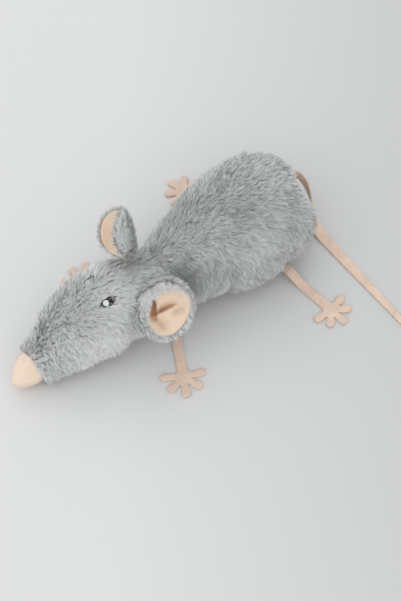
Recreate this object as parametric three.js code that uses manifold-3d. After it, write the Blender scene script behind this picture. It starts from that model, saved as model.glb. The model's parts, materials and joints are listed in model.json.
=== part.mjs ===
// A plush rat soft toy lying on its belly. Millimetres, +Z up, nose towards -X, tail towards +X.
// The origin is the middle of the flat patch of belly that the toy rests on.
// The furry skin is sewn from panels around a firm core of fibre filling. The neck is a ball of
// filling that the head turns and nods on, and the ears, limbs and tail hinge where they are sewn.
import * as THREE from "three";
import { mergeVertices } from "three/addons/utils/BufferGeometryUtils.js";
import Module from "manifold-3d";

const wasm = await Module();
wasm.setup();

// Driving dimensions
const GAP = 0.3;
const THINNEST = 0.2;
const SKIN = 2.6;
const NOSE_SKIN = 1.4;
const RING_STEPS = 22;
const LOFT_STEPS = 15;
const BODY_SEAM_Z = 10;
const HEAD_SEAM_Z = 13;
const BODY_MIDDLE_Y = 3;
const HEAD_MIDDLE_Y = 5;
const NECK = new THREE.Vector3(-89, 3, 28.5);
const NECK_RADIUS = 24;
const NECK_HALF_OPENING = 8;
const SOCKET_GAP = 0.9;
const NOSE_BASE_X = -193;
const FELT = 1.8;
const LIMB_WIDTH = 8;
const TOE_ANGLES = [-95, -48, 0, 48, 95];
const TOE_WIDTH = 6.8;
const EAR_BACK = 2.4;
const EAR_LINING = 1;
const EAR_GAP = 0.7;
const EAR_LIFT = 1.06;

// Skin outline: [x, middle y, half width, top z, bottom z], from the neck back to the rump
const BODY_ROWS = [
  [-102, 3, 24.5, 53, 2],
  [-87, 3, 25, 54, 0],
  [-74, 3, 27, 57.5, -3],
  [-55, 3, 33, 63, -5],
  [-27, 3, 42, 70, -6],
  [2, 3, 48.5, 74, -6],
  [21, 3, 50, 75, -5],
  [40, 3, 46.5, 71.5, -2],
  [53, 3, 38, 62.5, 5],
  [60, 3, 24, 50.5, 14],
  [63, 3, 0.5, 33, 32],
];
// Skin outline from the neck forward to the nose tip
const HEAD_ROWS = [
  [-76, 3, 24.5, 53, 3],
  [-91, 3, 25.5, 55, 3],
  [-103, 4, 30, 60.5, 3],
  [-118, 4.8, 32.3, 63, 3],
  [-132, 5.6, 33.2, 61.5, 3],
  [-149, 6.6, 30.5, 54.5, 3],
  [-171, 6.8, 23.5, 43, 3],
  [-192, 5.8, 14, 29, 3],
  [-202, 5, 12, 24.5, 3],
  [-210, 4.5, 8.2, 19, 4],
  [-215, 4.2, 0.5, 12, 11],
];

// Catmull-Rom point on a list of rows, t running from 0 at the first row to 1 at the last
function rowAt(rows, t) {
  const place = t * (rows.length - 1);
  const i = Math.min(Math.floor(place), rows.length - 2);
  const f = place - i;
  const before = rows[Math.max(i - 1, 0)];
  const after = rows[Math.min(i + 2, rows.length - 1)];
  return rows[i].map((here, k) => {
    const next = rows[i + 1][k];
    const bend = 2 * before[k] - 5 * here + 4 * next - after[k];
    const twist = 3 * here - before[k] - 3 * next + after[k];
    return here + 0.5 * f * (next - before[k] + f * (bend + f * twist));
  });
}

// The row where the outline passes a given x
function rowAtX(rows, x) {
  const rising = rows[rows.length - 1][0] > rows[0][0];
  let low = 0;
  let high = 1;
  for (let i = 0; i < 40; i += 1) {
    const middle = (low + high) / 2;
    const short = rising ? rowAt(rows, middle)[0] < x : rowAt(rows, middle)[0] > x;
    if (short) low = middle;
    else high = middle;
  }
  return rowAt(rows, low);
}

// A point of the outline's section, inset inwards, flat where it lies on the floor
function sectionPoint(row, angle, inset) {
  const [x, middle, half, top, bottom] = row;
  const centre = (top + bottom) / 2;
  const rise = Math.max((top - bottom) / 2 - inset, THINNEST);
  const y = middle + Math.max(half - inset, THINNEST) * Math.cos(angle);
  return [x, y, Math.max(centre + rise * Math.sin(angle), inset)];
}

// A closed solid from rings of points, with a fan over each end
function solidOfRings(rings) {
  const size = rings[0].length;
  const points = rings.flat();
  const faces = [];
  rings.slice(1).forEach((_, r) => {
    for (let i = 0; i < size; i += 1) {
      const a = r * size + i;
      const b = r * size + ((i + 1) % size);
      faces.push(a, b, b + size, a, b + size, a + size);
    }
  });
  for (const first of [0, (rings.length - 1) * size]) {
    const ring = rings[first / size];
    const middle = [0, 1, 2].map((k) => ring.reduce((sum, p) => sum + p[k], 0) / size);
    points.push(middle);
    for (let i = 0; i < size; i += 1) {
      const edge = [first + i, first + ((i + 1) % size)];
      faces.push(points.length - 1, ...(first ? edge : edge.reverse()));
    }
  }
  return solid(points.flat(), faces);
}

// A manifold solid with its faces turned outwards
function solid(positions, faces) {
  let volume = 0;
  for (let i = 0; i < faces.length; i += 3) {
    const corner = (k) => new THREE.Vector3().fromArray(positions, 3 * faces[i + k]);
    const [a, b, c] = [0, 1, 2].map(corner);
    volume += a.dot(b.cross(c));
  }
  const turned = volume < 0 ? faces.toReversed() : faces;
  const mesh = new wasm.Mesh({
    numProp: 3,
    vertProperties: new Float32Array(positions),
    triVerts: new Uint32Array(turned),
  });
  return new wasm.Manifold(mesh);
}

function solidOfGeometry(geometry) {
  geometry.deleteAttribute("normal");
  geometry.deleteAttribute("uv");
  const merged = mergeVertices(geometry, 1e-4);
  return solid(Array.from(merged.attributes.position.array), Array.from(merged.index.array));
}

function geometryOfSolid(made) {
  const mesh = made.getMesh();
  const geometry = new THREE.BufferGeometry();
  geometry.setAttribute("position", new THREE.BufferAttribute(mesh.vertProperties, mesh.numProp));
  geometry.setIndex(new THREE.BufferAttribute(mesh.triVerts, 1));
  return geometry;
}

function loft(rows, inset) {
  const rings = [];
  for (let s = 0; s <= LOFT_STEPS; s += 1) {
    const row = rowAt(rows, s / LOFT_STEPS);
    const ring = [];
    for (let i = 0; i < RING_STEPS; i += 1) {
      ring.push(sectionPoint(row, (2 * Math.PI * i) / RING_STEPS, inset));
    }
    rings.push(ring);
  }
  return solidOfRings(rings);
}

function block(low, high) {
  const size = high.map((value, k) => value - low[k]);
  const box = new THREE.BoxGeometry(...size);
  box.translate(...low.map((value, k) => value + size[k] / 2));
  return solidOfGeometry(box);
}

function ball(centre, radius) {
  const sphere = new THREE.SphereGeometry(radius, 20, 12);
  sphere.translate(centre.x, centre.y, centre.z);
  return solidOfGeometry(sphere);
}

const FAR = 400;
const below = (z) => block([-FAR, -FAR, -FAR], [FAR, FAR, z - GAP / 2]);
const above = (z) => block([-FAR, -FAR, z + GAP / 2], [FAR, FAR, FAR]);
const leftOf = (y) => block([-FAR, -FAR, -FAR], [FAR, y - GAP / 2, FAR]);
const rightOf = (y) => block([-FAR, y + GAP / 2, -FAR], [FAR, FAR, FAR]);
const behind = (x) => block([x, -FAR, -FAR], [FAR, FAR, FAR]);
const ahead = (x) => block([-FAR, -FAR, -FAR], [x, FAR, FAR]);

const group = new THREE.Group();

const FUR = { color: 0xa9b0b4, roughness: 0.95 };
const STUFFING = { color: 0xf2f2ee, roughness: 1 };
const VELOUR = { color: 0xe8cdb6, roughness: 0.8 };
const FELT_LOOK = { color: 0xd9b49a, roughness: 0.9 };
const BLACK_THREAD = { color: 0x101012, roughness: 0.5 };
const WHITE_THREAD = { color: 0xf4f4f4, roughness: 0.5 };

function add(name, made, look) {
  const material = new THREE.MeshStandardMaterial({ metalness: 0, ...look });
  const mesh = new THREE.Mesh(geometryOfSolid(made), material);
  mesh.name = name;
  group.add(mesh);
}

// Body: two flank panels, a belly panel and the filling inside them
function addBody() {
  const rear = behind(NECK.x + NECK_HALF_OPENING);
  const socket = ball(NECK, NECK_RADIUS + SOCKET_GAP);
  const shell = loft(BODY_ROWS, 0).subtract(loft(BODY_ROWS, SKIN));
  const skin = shell.intersect(rear).subtract(socket);
  add("belly_panel", skin.intersect(below(BODY_SEAM_Z)), FUR);
  add("body_left_panel", skin.intersect(above(BODY_SEAM_Z)).intersect(leftOf(BODY_MIDDLE_Y)), FUR);
  add("body_right_panel", skin.intersect(above(BODY_SEAM_Z)).intersect(rightOf(BODY_MIDDLE_Y)), FUR);
  const core = loft(BODY_ROWS, SKIN + GAP).intersect(rear);
  add("body_stuffing", core.subtract(socket), STUFFING);
}

function addNeck() {
  add("neck_stuffing", ball(NECK, NECK_RADIUS), STUFFING);
}

// Head: two side panels, a chin panel and a velour nose cap around one filling
function addHead() {
  const whole = loft(HEAD_ROWS, 0);
  const front = ahead(NECK.x - NECK_HALF_OPENING);
  const socket = ball(NECK, NECK_RADIUS + SOCKET_GAP);
  const shell = whole.subtract(loft(HEAD_ROWS, SKIN)).intersect(front).subtract(socket);
  const fur = shell.intersect(behind(NOSE_BASE_X + GAP));
  add("chin_panel", fur.intersect(below(HEAD_SEAM_Z)), FUR);
  add("head_left_panel", fur.intersect(above(HEAD_SEAM_Z)).intersect(leftOf(HEAD_MIDDLE_Y)), FUR);
  add("head_right_panel", fur.intersect(above(HEAD_SEAM_Z)).intersect(rightOf(HEAD_MIDDLE_Y)), FUR);
  const tip = whole.subtract(loft(HEAD_ROWS, NOSE_SKIN)).intersect(ahead(NOSE_BASE_X));
  add("nose_cap", tip, VELOUR);
  const core = loft(HEAD_ROWS, SKIN + GAP).intersect(front).subtract(socket);
  add("head_stuffing", core, STUFFING);
}

// An ear is a round double layer curled about its upright line: fur behind, velour lining inside.
// Its inner half, towards the middle of the toy, may curl tighter than its outer half.
function earSolid(ear, near, far) {
  const rings = 4;
  const sectors = 20;
  const side = new THREE.Vector3().crossVectors(ear.up, ear.facing).normalize();
  const facing = new THREE.Vector3().crossVectors(side, ear.up).normalize();
  const at = (ring, sector, depth) => {
    const reach = (ear.radius * ring) / rings;
    const angle = (2 * Math.PI * sector) / sectors;
    const across = reach * Math.cos(angle) * ear.breadth;
    const along = ear.radius * EAR_LIFT + reach * Math.sin(angle);
    const curl = across > 0 ? ear.innerCurl : ear.outerCurl;
    const bend = across / curl;
    return ear.root.clone()
      .addScaledVector(ear.up, along)
      .addScaledVector(side, (curl - depth) * Math.sin(bend))
      .addScaledVector(facing, curl - (curl - depth) * Math.cos(bend))
      .toArray();
  };
  const loops = [];
  for (let ring = 1; ring <= rings; ring += 1) {
    loops.push(Array.from({ length: sectors }, (_, s) => at(ring, s, near)));
  }
  for (let ring = rings; ring >= 1; ring -= 1) {
    loops.push(Array.from({ length: sectors }, (_, s) => at(ring, s, far)));
  }
  return solidOfRings(loops);
}

const LEFT_EAR = {
  root: new THREE.Vector3(-106, -13.5, 59.6),
  up: new THREE.Vector3(0.44, -0.86, -0.25).normalize(),
  facing: new THREE.Vector3(-0.3, -0.4, 0.866),
  radius: 20.5,
  breadth: 1.2,
  innerCurl: 30,
  outerCurl: 30,
};
const RIGHT_EAR = {
  root: new THREE.Vector3(-94.5, 14, 60),
  up: new THREE.Vector3(0.2, 0.66, 0.72).normalize(),
  facing: new THREE.Vector3(-0.91, 0.09, 0.41),
  radius: 20,
  breadth: 1,
  innerCurl: 8.5,
  outerCurl: 15,
};

function addEar(name, ear) {
  add(`${name}_back`, earSolid(ear, -EAR_BACK, 0), FUR);
  add(`${name}_lining`, earSolid(ear, EAR_GAP, EAR_GAP + EAR_LINING), VELOUR);
}

// An eye is an almond patch of black satin stitch with a round white stitch on it
const EYE_X = -129;
const EYE_LENGTH = 17;
const EYE_HEIGHT = 7.5;
const EYE_THICKNESS = 1.2;
const EYE_LIFT = 1.1;
const GLINT_RADIUS = 2.6;
const GLINT_THICKNESS = 0.8;
const GLINT_FORWARD = 1.5;
const EYES = [
  { name: "left_eye", tilt: -19 },
  { name: "right_eye", tilt: 25 },
];

function addEye(eye) {
  const angle = THREE.MathUtils.degToRad(90 - eye.tilt);
  const skinAt = (x, turn) => new THREE.Vector3(...sectionPoint(rowAtX(HEAD_ROWS, x), turn, 0));
  const point = skinAt(EYE_X, angle);
  const forward = skinAt(EYE_X - EYE_LENGTH / 4, angle).sub(point).normalize();
  const across = skinAt(EYE_X, angle + 0.05).sub(point);
  const out = new THREE.Vector3().crossVectors(across, forward).normalize();
  if (out.z < 0) out.negate();
  const sideways = new THREE.Vector3().crossVectors(out, forward).normalize();
  const frame = new THREE.Matrix4().makeBasis(forward, sideways, out);
  const place = (geometry, lift) => {
    const at = point.clone().addScaledVector(out, lift);
    return geometry.applyMatrix4(frame).translate(at.x, at.y, at.z);
  };
  const almond = new THREE.Shape();
  almond.moveTo(-EYE_LENGTH / 2, 0);
  almond.quadraticCurveTo(0, EYE_HEIGHT, EYE_LENGTH / 2, 0);
  almond.quadraticCurveTo(0, -EYE_HEIGHT, -EYE_LENGTH / 2, 0);
  const flat = { depth: EYE_THICKNESS, bevelEnabled: false, curveSegments: 8 };
  const patch = place(new THREE.ExtrudeGeometry(almond, flat), EYE_LIFT);
  add(eye.name, solidOfGeometry(patch), BLACK_THREAD);
  const dot = new THREE.CylinderGeometry(GLINT_RADIUS, GLINT_RADIUS, GLINT_THICKNESS, 16);
  dot.rotateX(Math.PI / 2).translate(GLINT_FORWARD, 0, GLINT_THICKNESS / 2);
  place(dot, EYE_LIFT + EYE_THICKNESS + GAP);
  add(`${eye.name}_glint`, solidOfGeometry(dot), WHITE_THREAD);
}

// A flat strip through stations of {at, side, width}, side being the direction of its width
function stripSolid(stations, thickness) {
  const rings = stations.map(({ at, side, width, normal }) => {
    const across = side.clone().multiplyScalar(width / 2);
    const through = normal.clone().multiplyScalar(thickness / 2);
    return [[1, 1], [-1, 1], [-1, -1], [1, -1]].map(([a, b]) =>
      at.clone().addScaledVector(across, a).addScaledVector(through, b).toArray());
  });
  return solidOfRings(rings);
}

// One toe: a petal with a round end, lying flat and pointing along an angle
function toeSolid(centre, angle, length) {
  const petal = new THREE.Shape();
  const round = TOE_WIDTH / 2;
  const root = TOE_ROOT * TOE_WIDTH;
  petal.moveTo(0, -root);
  petal.lineTo(length - round, -round);
  petal.absarc(length - round, 0, round, -Math.PI / 2, Math.PI / 2, false);
  petal.lineTo(0, root);
  petal.closePath();
  const toe = new THREE.ExtrudeGeometry(petal, { depth: FELT, bevelEnabled: false, curveSegments: 6 });
  toe.rotateZ(angle).translate(centre.x, centre.y, 0);
  return solidOfGeometry(toe);
}

// Each limb is one piece of felt: a strip from the belly seam that slopes to the floor, and a paw
const ROOT_Z = 6.5;
const PALM_RADIUS = 6.2;
const TOE_ROOT = 0.32;
// [part of the way from root to paw, height as a part of the root's height]
const SLOPE = [[0, 1], [0.12, 0.86], [0.24, 0.5], [0.36, 0.14], [0.48, 0], [1, 0]];
const LIMBS = [
  { name: "front_left_limb", root: [-79, -18.6], paw: [-103.5, -65.5], reach: 17.8, turn: 0 },
  { name: "front_right_limb", root: [-79, 26], paw: [-116, 52], reach: 17.8, turn: 0 },
  { name: "hind_left_limb", root: [20, -37], paw: [26.4, -88.2], reach: 16.5, turn: 0 },
  { name: "hind_right_limb", root: [14, 42], paw: [0.5, 73], reach: 16.5, turn: -12 },
];

function addLimb(limb) {
  const root = new THREE.Vector2(...limb.root);
  const paw = new THREE.Vector2(...limb.paw);
  const along = paw.clone().sub(root);
  const length = along.length();
  const turn = along.angle();
  along.normalize();
  const side = new THREE.Vector3(-along.y, along.x, 0);
  const up = new THREE.Vector3(0, 0, 1);
  const stations = SLOPE.map(([part, height]) => {
    const flat = root.clone().addScaledVector(along, part * length);
    const at = new THREE.Vector3(flat.x, flat.y, FELT / 2 + height * (ROOT_Z - FELT / 2));
    return { at, side, normal: up, width: LIMB_WIDTH };
  });
  let made = stripSolid(stations, FELT);
  const palm = new THREE.CylinderGeometry(PALM_RADIUS, PALM_RADIUS, FELT, 20);
  palm.rotateX(Math.PI / 2).translate(paw.x, paw.y, FELT / 2);
  made = made.add(solidOfGeometry(palm));
  for (const degrees of TOE_ANGLES) {
    const angle = turn + THREE.MathUtils.degToRad(degrees + limb.turn);
    made = made.add(toeSolid(paw, angle, limb.reach));
  }
  add(limb.name, made, FELT_LOOK);
}

// Tail: one felt strip that leaves the rump on edge, turns flat on the floor and tapers to a tip.
// [x, y, z, turn of the width away from flat in degrees, width]
const TAIL_ROWS = [
  [65, 13, 42, 90, 7.5],
  [70.5, 9, 37.5, 90, 8],
  [73, 2, 28, 86, 8.5],
  [72, -6.5, 16, 74, 9],
  [68.5, -16, 6.5, 46, 9.6],
  [65.5, -25, 2.1, 14, 9.8],
  [65, -34, 0.95, 0, 9.4],
  [65, -46, 0.95, 0, 8.9],
];
const TAIL_FLAT = { x: 65, jointY: -47, tipY: -190, z: 0.95, width: 8.8, tipWidth: 2.2 };

function addTail() {
  const steps = 16;
  const pointAt = (t) => new THREE.Vector3(...rowAt(TAIL_ROWS, t).slice(0, 3));
  const stations = [];
  for (let s = 0; s <= steps; s += 1) {
    const t = s / steps;
    const [turn, width] = rowAt(TAIL_ROWS, t).slice(3);
    const along = pointAt(Math.min(t + 0.01, 1)).sub(pointAt(Math.max(t - 0.01, 0))).normalize();
    const level = new THREE.Vector3(0, 0, 1).cross(along).normalize();
    const side = level.applyAxisAngle(along, THREE.MathUtils.degToRad(-turn));
    const normal = new THREE.Vector3().crossVectors(along, side).normalize();
    stations.push({ at: pointAt(t), side, normal, width });
  }
  add("tail_base", stripSolid(stations, FELT), FELT_LOOK);
  const flat = [0, 0.25, 0.5, 0.75, 1].map((t) => {
    const y = THREE.MathUtils.lerp(TAIL_FLAT.jointY, TAIL_FLAT.tipY, t);
    const width = THREE.MathUtils.lerp(TAIL_FLAT.width, TAIL_FLAT.tipWidth, t);
    const side = new THREE.Vector3(1, 0, 0);
    const normal = new THREE.Vector3(0, 0, 1);
    return { at: new THREE.Vector3(TAIL_FLAT.x, y, TAIL_FLAT.z), side, normal, width };
  });
  add("tail_tip", stripSolid(flat, FELT), FELT_LOOK);
}

addBody();
addNeck();
addHead();
addEar("left_ear", LEFT_EAR);
addEar("right_ear", RIGHT_EAR);
EYES.forEach(addEye);
LIMBS.forEach(addLimb);
addTail();

export default group;
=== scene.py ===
"""A plush rat lying on its belly: a filled skin, a pile of mesh strands, felt limbs and a felt tail."""

import json
import math

import bmesh
import bpy
import numpy as np
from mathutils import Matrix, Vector
from mathutils.bvhtree import BVHTree
from mathutils.kdtree import KDTree


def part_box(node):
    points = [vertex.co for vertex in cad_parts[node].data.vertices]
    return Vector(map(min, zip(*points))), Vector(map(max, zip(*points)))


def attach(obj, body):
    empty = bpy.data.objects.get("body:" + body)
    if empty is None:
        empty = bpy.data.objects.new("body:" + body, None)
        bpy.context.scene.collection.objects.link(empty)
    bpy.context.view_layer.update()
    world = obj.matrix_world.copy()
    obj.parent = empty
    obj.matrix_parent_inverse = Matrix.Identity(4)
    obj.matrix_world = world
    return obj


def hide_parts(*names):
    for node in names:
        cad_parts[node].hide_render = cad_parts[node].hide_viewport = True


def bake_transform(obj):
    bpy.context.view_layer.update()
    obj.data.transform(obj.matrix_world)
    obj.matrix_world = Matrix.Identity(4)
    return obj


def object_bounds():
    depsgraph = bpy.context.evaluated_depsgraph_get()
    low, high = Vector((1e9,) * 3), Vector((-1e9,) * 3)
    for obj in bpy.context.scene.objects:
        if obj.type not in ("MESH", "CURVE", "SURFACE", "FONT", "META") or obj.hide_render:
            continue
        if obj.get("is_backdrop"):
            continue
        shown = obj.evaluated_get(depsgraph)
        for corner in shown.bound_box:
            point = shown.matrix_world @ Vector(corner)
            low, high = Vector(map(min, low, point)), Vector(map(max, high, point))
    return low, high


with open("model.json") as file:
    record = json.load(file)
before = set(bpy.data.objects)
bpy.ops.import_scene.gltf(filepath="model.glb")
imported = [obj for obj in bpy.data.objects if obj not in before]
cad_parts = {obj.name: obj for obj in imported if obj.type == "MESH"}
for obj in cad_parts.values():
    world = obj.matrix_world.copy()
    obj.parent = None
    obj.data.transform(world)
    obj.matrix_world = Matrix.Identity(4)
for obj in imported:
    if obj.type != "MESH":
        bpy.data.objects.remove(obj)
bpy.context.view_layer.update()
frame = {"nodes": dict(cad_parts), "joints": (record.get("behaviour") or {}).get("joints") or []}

MM = 0.001
SEED = 11

# Length of the pile, and how far its roots reach forward over the base of the nose
PILE_LENGTH = 7.6 * MM
NOSE_OVERHANG = 2.5 * MM
# How far the skin lies inside the CAD panels and the velour nose outside them, and the skin's lowest height
SKIN_INSET = 1.2 * MM
NOSE_PUFF = 0.2 * MM
SKIN_FLOOR = 2.0 * MM
# Heights of the side seams, and the planes where nose, head and body meet
SEAM_BODY_Z = 10 * MM
SEAM_HEAD_Z = 13 * MM
NOSE_BASE_X = -193 * MM
NECK_X = -89 * MM
# Half the length of skin that bends at the neck, and half of the open gap that the CAD has there
NECK_REACH = 25 * MM
GAP_REACH = 8.6 * MM
# Points around the skin, and the step between its rings
COLUMNS = 60
ROW_STEP = 4.6 * MM


# ---------------------------------------------------------------- small helpers


def smooth(low, high, x):
    t = np.clip((x - low) / (high - low), 0, 1)
    return t * t * (3 - 2 * t)


def unit(v):
    return v / np.maximum(np.linalg.norm(v, axis=-1, keepdims=True), 1e-12)


def wave_noise(points, scale, seed, octaves=3):
    """Smooth noise from about -1 to 1 at points, made of sums of sines with a wavelength near scale."""
    source = np.random.default_rng(seed)
    total = np.zeros(len(points))
    size = 0.0
    for octave in range(octaves):
        for _ in range(6):
            axis = unit(source.normal(size=3))
            k = 2 * math.pi / (scale * source.uniform(0.7, 1.4)) * 2**octave
            total += 0.6**octave * np.sin(points @ axis * k + source.uniform(0, 2 * math.pi))
        size += 0.6**octave * 2.4
    return total / size


def link(obj):
    bpy.context.scene.collection.objects.link(obj)
    return obj


def mesh_object(name, verts, faces, material=None):
    """A mesh object from an (n, 3) array and a list or (m, k) array of faces."""
    mesh = bpy.data.meshes.new(name)
    faces = faces.tolist() if isinstance(faces, np.ndarray) else faces
    mesh.from_pydata(np.asarray(verts).tolist(), [], faces)
    mesh.polygons.foreach_set("use_smooth", np.full(len(mesh.polygons), True))
    mesh.update()
    obj = link(bpy.data.objects.new(name, mesh))
    if material:
        mesh.materials.append(material)
    return obj


def coords(mesh):
    co = np.zeros(len(mesh.vertices) * 3)
    mesh.vertices.foreach_get("co", co)
    return co.reshape(-1, 3)


def change_mesh(obj, change):
    """Opens an object's mesh for a function that changes it, and leaves it smooth."""
    bm = bmesh.new()
    bm.from_mesh(obj.data)
    change(bm)
    bm.to_mesh(obj.data)
    bm.free()
    obj.data.polygons.foreach_set("use_smooth", np.full(len(obj.data.polygons), True))


def fix_normals(obj):
    change_mesh(obj, lambda bm: bmesh.ops.recalc_face_normals(bm, faces=bm.faces[:]))


def tree_of(points):
    """A tree that finds the nearest of some points."""
    tree = KDTree(len(points))
    for i, point in enumerate(points):
        tree.insert(point, i)
    tree.balance()
    return tree


def grid_faces(rows, columns):
    """Quads between rings of points, each ring closed."""
    r, c = np.meshgrid(np.arange(rows - 1), np.arange(columns), indexing="ij")
    a = r * columns + c
    b = r * columns + (c + 1) % columns
    return np.stack([a, b, b + columns, a + columns], -1).reshape(-1, 4)


def end_fans(rows, columns):
    """Triangles that close a grid's first and last ring, to two points that follow the grid's."""
    first, base = rows * columns, (rows - 1) * columns
    fans = [[first, (c + 1) % columns, c] for c in range(columns)]
    return fans + [[first + 1, base + c, base + (c + 1) % columns] for c in range(columns)]


def catmull(rows, per_span):
    """A smooth line of rows through the given rows."""
    out = []
    last = len(rows) - 1
    for i in range(last):
        before, here, there, after = rows[max(i - 1, 0)], rows[i], rows[i + 1], rows[min(i + 2, last)]
        for f in np.arange(per_span) / per_span:
            out.append(0.5 * (
                2 * here + f * (there - before) + f**2 * (2 * before - 5 * here + 4 * there - after)
                + f**3 * (3 * here - before - 3 * there + after)
            ))
    return np.array([*out, rows[-1]])


def cad_tree(*nodes):
    verts, faces = [], []
    for node in nodes:
        mesh = frame["nodes"][node].data
        base = len(verts)
        verts += [v.co.copy() for v in mesh.vertices]
        faces += [[base + i for i in p.vertices] for p in mesh.polygons]
    return BVHTree.FromPolygons(verts, faces)


# ---------------------------------------------------------------- materials


class Look:
    """A material, the shader it ends in and the means to add nodes to it."""

    def __init__(self, name):
        self.material = bpy.data.materials.new(name)
        self.material.use_nodes = True
        self.nodes = self.material.node_tree.nodes
        self.link = self.material.node_tree.links.new
        self.shader = self.nodes["Principled BSDF"]
        self.place = self.nodes.new("ShaderNodeTexCoord").outputs["Object"]

    def ramp(self, value, stops):
        """The colour that a value stands for, from stops of place and colour."""
        node = self.nodes.new("ShaderNodeValToRGB")
        ends = node.color_ramp.elements
        while len(ends) < len(stops):
            ends.new(0.5)
        for end, (place, color) in zip(ends, stops):
            end.position = place
            end.color = (*color, 1)
        self.link(value, node.inputs["Fac"])
        return node.outputs["Color"]

    def multiply(self, first, second):
        mix = self.nodes.new("ShaderNodeMix")
        mix.data_type = "RGBA"
        mix.blend_type = "MULTIPLY"
        mix.inputs["Factor"].default_value = 1
        self.link(first, mix.inputs["A"])
        self.link(second, mix.inputs["B"])
        return mix.outputs["Result"]

    def noise(self, size, detail, roughness=0.5):
        node = self.nodes.new("ShaderNodeTexNoise")
        node.inputs["Scale"].default_value = 1 / size
        node.inputs["Detail"].default_value = detail
        node.inputs["Roughness"].default_value = roughness
        self.link(self.place, node.inputs["Vector"])
        return node.outputs["Fac"]

    def relief(self, height, strength, distance):
        node = self.nodes.new("ShaderNodeBump")
        node.inputs["Strength"].default_value = strength
        node.inputs["Distance"].default_value = distance
        self.link(height, node.inputs["Height"])
        self.link(node.outputs["Normal"], self.shader.inputs["Normal"])

    def finish(self, color, roughness, specular, sheen=0.0, sheen_roughness=0.5):
        self.link(color, self.shader.inputs["Base Color"])
        values = {
            "Roughness": roughness, "Specular IOR Level": specular,
            "Sheen Weight": sheen, "Sheen Roughness": sheen_roughness,
        }
        for name, value in values.items():
            self.shader.inputs[name].default_value = value
        return self.material


def fur_material():
    """Pile colour read from the strand's own map: along U its shade, along V a painted shade that darkens it
    from tip to root.
    """
    look = Look("fur_pile")
    uv = look.nodes.new("ShaderNodeUVMap")
    uv.uv_map = "OFBake"
    split = look.nodes.new("ShaderNodeSeparateXYZ")
    look.link(uv.outputs["UV"], split.inputs[0])
    shade = look.ramp(split.outputs["X"], FUR_SHADES)
    # Painted shade: along V the colour darkens towards the root, where shade falls deep in the pile
    depth = look.ramp(split.outputs["Y"], FUR_ROOT_SHADE)
    return look.finish(look.multiply(shade, depth), 0.62, 0.25, 0.25)


def cloth_material(name, color, spread, grain, roughness, bump, fibre=0.0, sheen=0.3, folds=None):
    """A napped cloth, mottled. It may have clumps of fibres, and painted shade that darkens it where "fold"
    is high.
    """
    look = Look(name)
    mottle = look.noise(MOTTLE, 5)
    nap = look.noise(grain, 6, 0.7)
    low = tuple(c * (1 - 0.3 * spread) for c in color)
    high = tuple(min(c * (1 + 0.3 * spread), 1) for c in color)
    tone = look.ramp(mottle, [(0.3, low), (0.7, high)])
    gaps = (1 - spread, 1 - spread * 1.05, 1 - spread * 1.1)
    tone = look.multiply(tone, look.ramp(nap, [(0.3, gaps), (0.68, (1, 1, 1))]))
    # Painted shade: darker where the "fold" attribute says a fold lies deep
    if folds:
        fold = look.nodes.new("ShaderNodeAttribute")
        fold.attribute_name = "fold"
        tone = look.multiply(tone, look.ramp(fold.outputs["Fac"], folds))
    height = nap
    if fibre:
        crumple = look.nodes.new("ShaderNodeTexVoronoi")
        crumple.feature = "SMOOTH_F1"
        crumple.inputs["Scale"].default_value = 1 / fibre
        look.link(look.place, crumple.inputs["Vector"])
        add = look.nodes.new("ShaderNodeMath")
        look.link(nap, add.inputs[0])
        look.link(crumple.outputs["Distance"], add.inputs[1])
        height = add.outputs[0]
    look.relief(height, 0.6, bump)
    return look.finish(tone, roughness, 0.2, sheen, 0.4)


def thread_material(name, color, roughness, sheen):
    look = Look(name)
    twist = look.noise(THREAD, 4)
    tone = look.ramp(twist, [(0.3, tuple(c * 0.75 for c in color)), (0.7, color)])
    look.relief(twist, 0.4, 0.1 * MM)
    return look.finish(tone, roughness, 0.2, sheen)


# Sizes of the blotches in a cloth and of the twist in a thread
MOTTLE = 9 * MM
THREAD = 0.5 * MM
# The pile's colour from dark to light tufts, and the painted shade that darkens it from tip down to root
FUR_SHADES = [(0.0, (0.40, 0.408, 0.408)), (0.5, (0.80, 0.81, 0.81)), (1.0, (0.985, 0.99, 0.985))]
FUR_ROOT_SHADE = [(0.0, (0.72, 0.72, 0.72)), (0.5, (0.95, 0.95, 0.95)), (1.0, (1, 1, 1))]
BACKING_GREY = (0.68, 0.69, 0.7)
PEACH = (0.9, 0.72, 0.58)
LINING_PEACH = (0.88, 0.7, 0.55)
# Painted shade of a lining, from flat cloth to the bottom of a deep fold
FOLD_PAINTED_SHADES = [(0.0, (1, 1, 1)), (0.45, (0.86, 0.8, 0.74)), (1.0, (0.56, 0.38, 0.27))]
FELT_TAN = (0.9, 0.69, 0.56)

FUR = fur_material()
BACKING = cloth_material("pile_backing", BACKING_GREY, 0.2, 0.9 * MM, 0.95, 0.4 * MM)
VELOUR = cloth_material("velour", PEACH, 0.06, 0.55 * MM, 0.85, 0.16 * MM, sheen=0.5)
# The ear lining's velour, with painted shade in its folds
LINING = cloth_material(
    "ear_velour", LINING_PEACH, 0.06, 0.55 * MM, 0.85, 0.16 * MM, sheen=0.5, folds=FOLD_PAINTED_SHADES
)
FELT = cloth_material(
    "microsuede_felt", FELT_TAN, 0.24, 0.75 * MM, 0.9, 0.5 * MM, fibre=1.1 * MM, sheen=0.25
)
BLACK = thread_material("black_thread", (0.01, 0.01, 0.012), 0.55, 0.0)
WHITE = thread_material("white_thread", (0.86, 0.87, 0.88), 0.5, 0.2)


# ---------------------------------------------------------------- the sewn skin


# Where the search for the middle of a ring starts, and the end of the part where the nose has its own
MIDDLE_Y = 4 * MM
MIDDLE_Z = 28 * MM
NOSE_MIDDLE_Z = 14 * MM
NOSE_END_X = -190 * MM
# How far out the rays start, the shortest spoke of a ring, and the share by which a spoke may differ from its
# neighbours before it counts as one that slipped in through a seam
RAY_START = 0.3
LEAST_SPOKE = 0.3 * MM
SLIP = 0.12


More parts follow.
